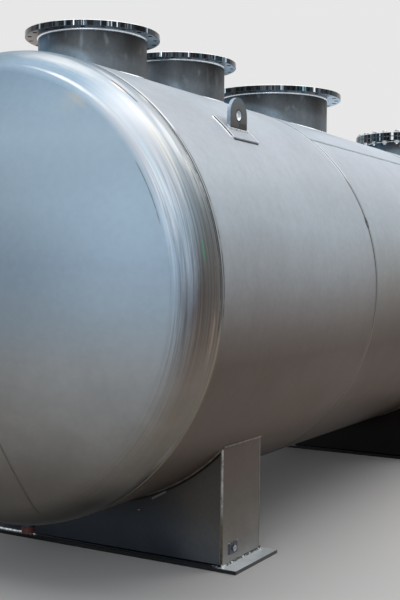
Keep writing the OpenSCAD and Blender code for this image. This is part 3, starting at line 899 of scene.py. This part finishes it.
longWelds = {"width": 0.016, "height": 0.0028, "pitch": 0.009, "ripple": 0.12, "wander": 0.5}


def longChain(course):
    turn = math.radians(longTurns[course])
    start, end = seams[course] + 0.008, seams[course + 1] - 0.008

    def path(share):
        x = start + share * (end - start)
        wobble = 0.0010 * math.sin(19 * x) + 0.0007 * math.sin(47 * x + 1)
        return onTank(x, turn + wobble, shellRadius - 0.0003), radial(turn)
    return sampled(path, 200)


longBeads = makeBeads("long_welds", [longChain(course) for course in range(4)], finish=longWeld, **longWelds)
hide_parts("long_beads")


def nozzlePlace(nozzle):
    low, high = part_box(nozzle)
    return (low.x + high.x) / 2, (high.x - low.x) / 2


def footChain(centre, radius, side=1):
    # round a pipe's foot on the shell; side is -1 underneath
    def path(share):
        angle = 2 * math.pi * share
        outward = Vector((math.cos(angle), math.sin(angle), 0))
        y = radius * math.sin(angle)
        rise = math.sqrt(shellRadius ** 2 - y ** 2)
        point = Vector((centre + radius * math.cos(angle), y, axisHeight + side * rise))
        return point, outward + Vector((0, y, side * rise)) / shellRadius
    return sampled(path, 240, True)


footWelds = {"width": 0.015, "height": 0.0075, "pitch": 0.010, "ripple": 0.12, "wander": 0.25}
feet = makeBeads("nozzle_foot_welds", [footChain(*nozzlePlace(nozzle)) for nozzle in nozzles],
                 finish=cleanWeld, **footWelds)
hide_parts("nozzle_foot_beads")


def flatRing(centre, radius, height, outward, upward):
    def path(share):
        angle = 2 * math.pi * share
        around = Vector((math.cos(angle), math.sin(angle), 0))
        return Vector((centre, 0, height)) + around * radius, around * outward + Vector((0, 0, upward))
    return sampled(path, 240, True)


def pipeRings(ends, side, outward, upward):
    # a ring round each pipe, at the height of one side of the piece at its end
    pairs = zip(nozzles, ends)
    return [flatRing(*nozzlePlace(nozzle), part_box(end)[side].z, outward, upward) for nozzle, end in pairs]


flangeWelds = {"width": 0.016, "height": 0.0075, "pitch": 0.009, "ripple": 0.03, "wander": 0.06}
makeBeads("flange_welds", pipeRings(flanges, 0, 1, -1), finish=cleanWeld, **flangeWelds)
endWelds = {"width": 0.011, "height": 0.005, "pitch": 0.009, "ripple": 0.15, "wander": 0.2}
makeBeads("pipe_end_welds", pipeRings(nozzles, 1, -1, 1), finish=weldSteel, **endWelds)


def straightChain(start, end, up, count=60):
    start, end, up = Vector(start), Vector(end), Vector(up)
    return sampled(lambda share: (start.lerp(end, share), up), count)


# Saddle welds: along the feet, up the corners, and where the plates meet the shell

footChains, cornerChains, topChains = [], [], []
for saddle in saddles:
    low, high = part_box(saddle + "_end_plates")
    half, foot = high.y, low.z
    meet = axisHeight - math.sqrt(shellRadius ** 2 - half ** 2)
    reach = math.asin(half / shellRadius)
    for x, outward in ((low.x, -1), (high.x, 1)):
        def underShell(share):
            turn = math.pi + reach * (2 * share - 1)
            return onTank(x, turn, shellRadius), radial(turn) + Vector((outward, 0, 0))

        footChains.append(straightChain((x, -half + 0.01, foot), (x, half - 0.01, foot), (outward, 0, 1)))
        topChains.append(sampled(underShell, 160))
        for side in (-1, 1):
            y, up = side * (half - 0.006), (outward, side * 0.6, 0)
            cornerChains.append(straightChain((x, y, foot + 0.004), (x, y, meet - 0.002), up))
    for side in (-1, 1):
        y = side * half
        footChains.append(straightChain((low.x + 0.004, y, foot), (high.x - 0.004, y, foot), (0, side, 1)))
        lean = Vector((0, y, meet - axisHeight)) / shellRadius + Vector((0, side, 0))
        topChains.append(straightChain((low.x, y, meet), (high.x, y, meet), lean))

saddleFootWelds = {"width": 0.020, "height": 0.0095, "pitch": 0.030, "ripple": 0.55, "wander": 0.5}
makeBeads("saddle_foot_welds", footChains, finish=footWeld, **saddleFootWelds)
cornerWelds = {"width": 0.014, "height": 0.005, "pitch": 0.014, "ripple": 0.5, "wander": 1.0}
makeBeads("saddle_corner_welds", cornerChains, finish=cornerWeld, **cornerWelds)
topWelds = {"width": 0.018, "height": 0.008, "pitch": 0.011, "ripple": 0.22, "wander": 0.3}
makeBeads("saddle_top_welds", topChains, finish=topWeld, **topWelds)


# Lug welds: round each lug's foot on its pad, and round each pad on the shell

padLift = 0.010
padSize = {"length": 0.312, "width": 0.180, "corner": 0.030}
lugChains, padChains = [], []


def roundedOutline(share, length, width, corner):
    # a point on a rounded rectangle and its outward direction
    straights = [length - 2 * corner, width - 2 * corner] * 2
    quarter = math.pi * corner / 2
    left = share * (sum(straights) + 4 * quarter)
    place = Vector((-length / 2 + corner, -width / 2))
    heading = 0.0
    for straight in straights:
        ahead = Vector((math.cos(heading), math.sin(heading)))
        outward = Vector((ahead.y, -ahead.x))
        if left <= straight:
            return place + ahead * left, outward
        left -= straight
        place += ahead * straight
        centre = place - outward * corner
        if left <= quarter:
            bend = left / corner
            turned = outward * math.cos(bend) + ahead * math.sin(bend)
            return centre + turned * corner, turned
        left -= quarter
        place = centre + ahead * corner
        heading += math.pi / 2
    return place, outward


for lug in lugs:
    low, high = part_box(lug)
    x, halfWidth = (low.x + high.x) / 2, (high.x - low.x) / 2
    outer = shellRadius + padLift

    def foot(px, py, outward):
        rise = math.sqrt(outer ** 2 - py ** 2)
        return Vector((px, py, axisHeight + rise)), Vector(outward) + Vector((0, py, rise)) / outer

    def across(share):
        return foot(x + side * halfWidth, low.y + share * (high.y - low.y), (side, 0, 0))

    for y, side in ((low.y, -1), (high.y, 1)):
        lugChains.append(sampled(lambda share: foot(x + halfWidth * (2 * share - 1), y, (0, side, 0)), 40))
    for side in (-1, 1):
        lugChains.append(sampled(across, 12))
    lugTurn = math.asin(-(low.y + high.y) / 2 / outer)

    def padPoint(share):
        flat, outward = roundedOutline(share, padSize["length"], padSize["width"], padSize["corner"])
        turn = lugTurn + math.asin(flat.y / shellRadius)
        sideways = Vector((0, -math.cos(turn), -math.sin(turn)))
        up = Vector((outward.x, 0, 0)) + sideways * outward.y + radial(turn)
        return onTank(x + flat.x, turn, shellRadius), up

    padChains.append(sampled(padPoint, 220, True))

lugWelds = {"width": 0.014, "height": 0.007, "pitch": 0.009, "ripple": 0.25, "wander": 0.4}
makeBeads("lug_welds", lugChains, finish=lugWeld, **lugWelds)
padWelds = {"width": 0.013, "height": 0.0065, "pitch": 0.009, "ripple": 0.22, "wander": 0.35}
makeBeads("pad_welds", padChains, finish=padWeld, **padWelds)


# Small welds: the drain's root, tacks at the earthing plate's corners and on the front web,
# blobs at the saddles' feet

drainX, drainRadius = nozzlePlace("drain_pipe")
rootWelds = {"width": 0.008, "height": 0.004, "pitch": 0.007, "ripple": 0.3, "wander": 0.4}
makeBeads("drain_root_weld", [footChain(drainX, drainRadius, -1)], finish=weldSteel, **rootWelds)

earthLow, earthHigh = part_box("earthing_plate")
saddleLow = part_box("saddle_1_end_plates")[0]
wallY, webX = saddleLow.y, saddleLow.x
tackChains = []
for x in (earthLow.x, earthHigh.x):
    for z in (earthLow.z, earthHigh.z):
        tackChains.append(straightChain((x - 0.004, wallY, z), (x + 0.004, wallY, z), (0, -1, 0), 4))
tackChains.append(straightChain((webX, -0.342, 0.258), (webX, -0.332, 0.260), (-1, 0, 0), 4))
tackWelds = {"width": 0.009, "height": 0.004, "pitch": 0.006, "ripple": 0.3, "wander": 0.4}
makeBeads("tack_welds", tackChains, finish=brightWeld, **tackWelds)

blobChains = []
for saddle in saddles:
    low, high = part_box(saddle + "_end_plates")
    for x, outward in ((low.x, -1), (high.x, 1)):
        for side in (-1, 1):
            y = side * (high.y + 0.004)
            blobChains.append(straightChain((x, y, low.z), (x, y, low.z + 0.014), (outward, side, 0), 4))
blobWelds = {"width": 0.022, "height": 0.009, "pitch": 0.012, "ripple": 0.5, "wander": 0.4}
makeBeads("saddle_corner_blobs", blobChains, finish=brightWeld, **blobWelds)


# Bolts of the blind cover

coverBolts = {"Count": 24, "Circle": 0.475, "Stud": 0.015, "Head": 0.0265, "Head Height": 0.0187, "Chamfer": 0.0035,
              "Nut Height": 0.0240, "Washer": 0.0280, "Washer Height": 0.0040, "Stud Out": 0.009}


def makeBoltGroup():
    sizes = [(label, "Float") for label in (
        "Circle", "Stud", "Head", "Head Height", "Chamfer", "Nut Height", "Washer", "Washer Height", "Stud Out",
        "Top", "Bottom", "Middle")]
    group, given, out = newGroup("coverBolts", [("Count", "Int"), *sizes, ("Seed", "Int"), ("Finish", "Material")])

    def bar(sides, radius, fromZ, toZ, endShare=1.0):
        cone = addStep(group, "GeometryNodeMeshCone", {
            "Vertices": sides, "Radius Bottom": radius, "Radius Top": radius * endShare, "Depth": toZ - fromZ})
        return addStep(group, "GeometryNodeTransform", {"Geometry": cone, "Translation": joinAxes(0.0, 0.0, fromZ)})

    headFoot = given["Top"] + given["Washer Height"]
    headTop = headFoot + given["Head Height"]
    shoulder = headTop - given["Chamfer"]
    nutTop = given["Bottom"] - given["Washer Height"]
    nutFoot = nutTop - given["Nut Height"]
    nutShoulder = nutFoot + given["Chamfer"]
    studEnd = nutFoot - given["Stud Out"]
    joined = addNode(group, "GeometryNodeJoinGeometry")
    for part in (bar(6, given["Head"], headFoot, shoulder), bar(6, given["Head"], shoulder, headTop, 0.9),
                 bar(24, given["Washer"], given["Top"], headFoot),
                 bar(24, given["Washer"], nutTop, given["Bottom"]),
                 bar(6, given["Head"], nutShoulder, nutTop), bar(20, given["Stud"], studEnd, headFoot)):
        feed(joined.inputs[0], part)
    ring = addStep(group, "GeometryNodeMeshCircle", {"Vertices": given["Count"], "Radius": given["Circle"]})
    placedRing = addStep(group, "GeometryNodeTransform", {
        "Geometry": ring, "Translation": joinAxes(given["Middle"]),
        "Rotation": joinAxes(0.0, 0.0, math.pi / given["Count"])})
    spin = addNode(group, "FunctionNodeRandomValue", data_type="FLOAT")
    spin.inputs[3].default_value = math.pi / 3
    feed(spin.inputs["Seed"], given["Seed"])
    copies = addStep(group, "GeometryNodeInstanceOnPoints", {
        "Points": placedRing, "Instance": Wire(joined.outputs[0]),
        "Rotation": joinAxes(0.0, 0.0, Wire(spin.outputs[1]))})
    realize(group, copies, given["Finish"], out)
    return group


coverLow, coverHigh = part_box("blind_cover")
coverBolts.update({"Top": coverHigh.z, "Bottom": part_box("flange_4")[0].z,
                   "Middle": (coverLow.x + coverHigh.x) / 2, "Seed": 4, "Finish": boltSteel})
bolts = makePlain("cover_bolts", bpy.data.meshes.new("coverBoltsStart"), makeBoltGroup(), coverBolts)
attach(bolts, "root")
print("cover bolts have", len(bolts.data.polygons), "faces")


# Camera, at the photograph's angle

# yaw and pitch in degrees, roll in radians
cameraPlace = {"position": (-8.6013, -3.4488, 1.608), "lens": 61.61,
               "yaw": 29.995, "pitch": -1.825, "roll": -0.0108}
yaw, pitch = math.radians(cameraPlace["yaw"]), math.radians(cameraPlace["pitch"])
forward = Vector((math.cos(yaw) * math.cos(pitch), math.sin(yaw) * math.cos(pitch), math.sin(pitch)))
right = Vector((math.sin(yaw), -math.cos(yaw), 0))
down = forward.cross(right)
rollCos, rollSin = math.cos(cameraPlace["roll"]), math.sin(cameraPlace["roll"])
pictureRight = right * rollCos + down * rollSin
pictureUp = right * rollSin - down * rollCos
turned = Matrix((pictureRight, pictureUp, -forward)).transposed()
cameraData = bpy.data.cameras.new("camera")
cameraData.sensor_fit = "VERTICAL"
cameraData.sensor_height = 36.0
cameraData.lens = cameraPlace["lens"]
cameraData.clip_end = 400.0
camera = bpy.data.objects.new("camera", cameraData)
camera.matrix_world = Matrix.Translation(cameraPlace["position"]) @ turned.to_4x4()
scene.collection.objects.link(camera)
scene.camera = camera


# Studio: soft boxes, a pale floor and a pale surrounding

def softBox(name, place, target, width, depth, brightness, colour):
    light = bpy.data.lights.new(name, "AREA")
    light.shape = "RECTANGLE"
    light.size, light.size_y = width, depth
    light.energy = brightness * math.pi * width * depth
    light.color = colour
    lamp = bpy.data.objects.new(name, light)
    aim = (Vector(target) - Vector(place)).to_track_quat("-Z", "Y")
    lamp.matrix_world = Matrix.Translation(place) @ aim.to_matrix().to_4x4()
    scene.collection.objects.link(lamp)


studio = {"overhead": 1.75, "front": 2.8, "near": 0.6}
softBox("overheadBox", (-1.0, -1.5, 7.5), (0.0, 0.0, 1.5), 16.0, 6.0, studio["overhead"], (1.0, 0.99, 0.97))
softBox("frontBox", (-14.0, -3.5, 2.9), (-5.0, 0.0, 1.5), 8.0, 4.5, studio["front"], (0.86, 0.93, 1.0))
softBox("nearBox", (-4.0, -12.0, 6.5), (-1.0, 0.0, 1.6), 10.0, 4.0, studio["near"], (1.0, 0.98, 0.95))

surrounding = {"shown": (0.80, 0.80, 0.80, 1.0), "light": (0.92, 0.95, 1.0, 1.0), "strength": 0.32}
floorLook = {"half": 160.0, "colour": (0.72, 0.71, 0.70, 1.0), "bounce": (0.17, 0.16, 0.15, 1.0),
             "tankHalf": 4.2, "fadeFrom": 1.7, "fadeTo": 7.0}


def seenDirectly(tree):
    # 1 for rays that show the surroundings themselves, 0 for those that only carry light
    rays = addNode(tree, "ShaderNodeLightPath").outputs
    camera, glossy, through = (Wire(rays["Is " + kind + " Ray"]) for kind in ("Camera", "Glossy", "Transmission"))
    return calc("MAXIMUM", calc("MAXIMUM", camera, glossy), through)


def mixInto(out, share, first, second):
    tree = treeOf(share)
    feed(out, addStep(tree, "ShaderNodeMixShader", {0: share, 1: first, 2: second}))


world = bpy.data.worlds.new("studioWorld")
scene.world = world
world.use_nodes = True
tree = world.node_tree
tree.nodes.clear()
shown = addStep(tree, "ShaderNodeBackground", {0: surrounding["shown"]})
lit = addStep(tree, "ShaderNodeBackground", {0: surrounding["light"], 1: surrounding["strength"]})
mixInto(addNode(tree, "ShaderNodeOutputWorld").inputs[0], seenDirectly(tree), lit, shown)

floorMaterial = bpy.data.materials.new("studioFloor")
floorMaterial.use_nodes = True
tree = floorMaterial.node_tree
tree.nodes.clear()
seen = seenDirectly(tree)
matt = addStep(tree, "ShaderNodeBsdfDiffuse", {0: blend(seen, floorLook["bounce"], floorLook["colour"])})
glow = addStep(tree, "ShaderNodeEmission", {0: surrounding["shown"]})
# the floor turns into plain background away from the tank's own footprint
places = splitAxes(Wire(addNode(tree, "ShaderNodeTexCoord").outputs["Object"]))
beyond = calc("MAXIMUM", abs(places[0]) - floorLook["tankHalf"], 0.0)
away = calc("SQRT", beyond * beyond + places[1] * places[1])
away = ease(away, floorLook["fadeFrom"], floorLook["fadeTo"])
mixInto(addNode(tree, "ShaderNodeOutputMaterial").inputs[0], away * seen, matt, glow)
half = floorLook["half"]
floorMesh = bpy.data.meshes.new("studioFloor")
floorMesh.from_pydata([(-half, -half, 0), (half, -half, 0), (half, half, 0), (-half, half, 0)], [], [(0, 1, 2, 3)])
floorMesh.materials.append(floorMaterial)
floor = bpy.data.objects.new("studioFloor", floorMesh)
scene.collection.objects.link(floor)
scene.view_settings.view_transform = "Standard"
print("studio ready")
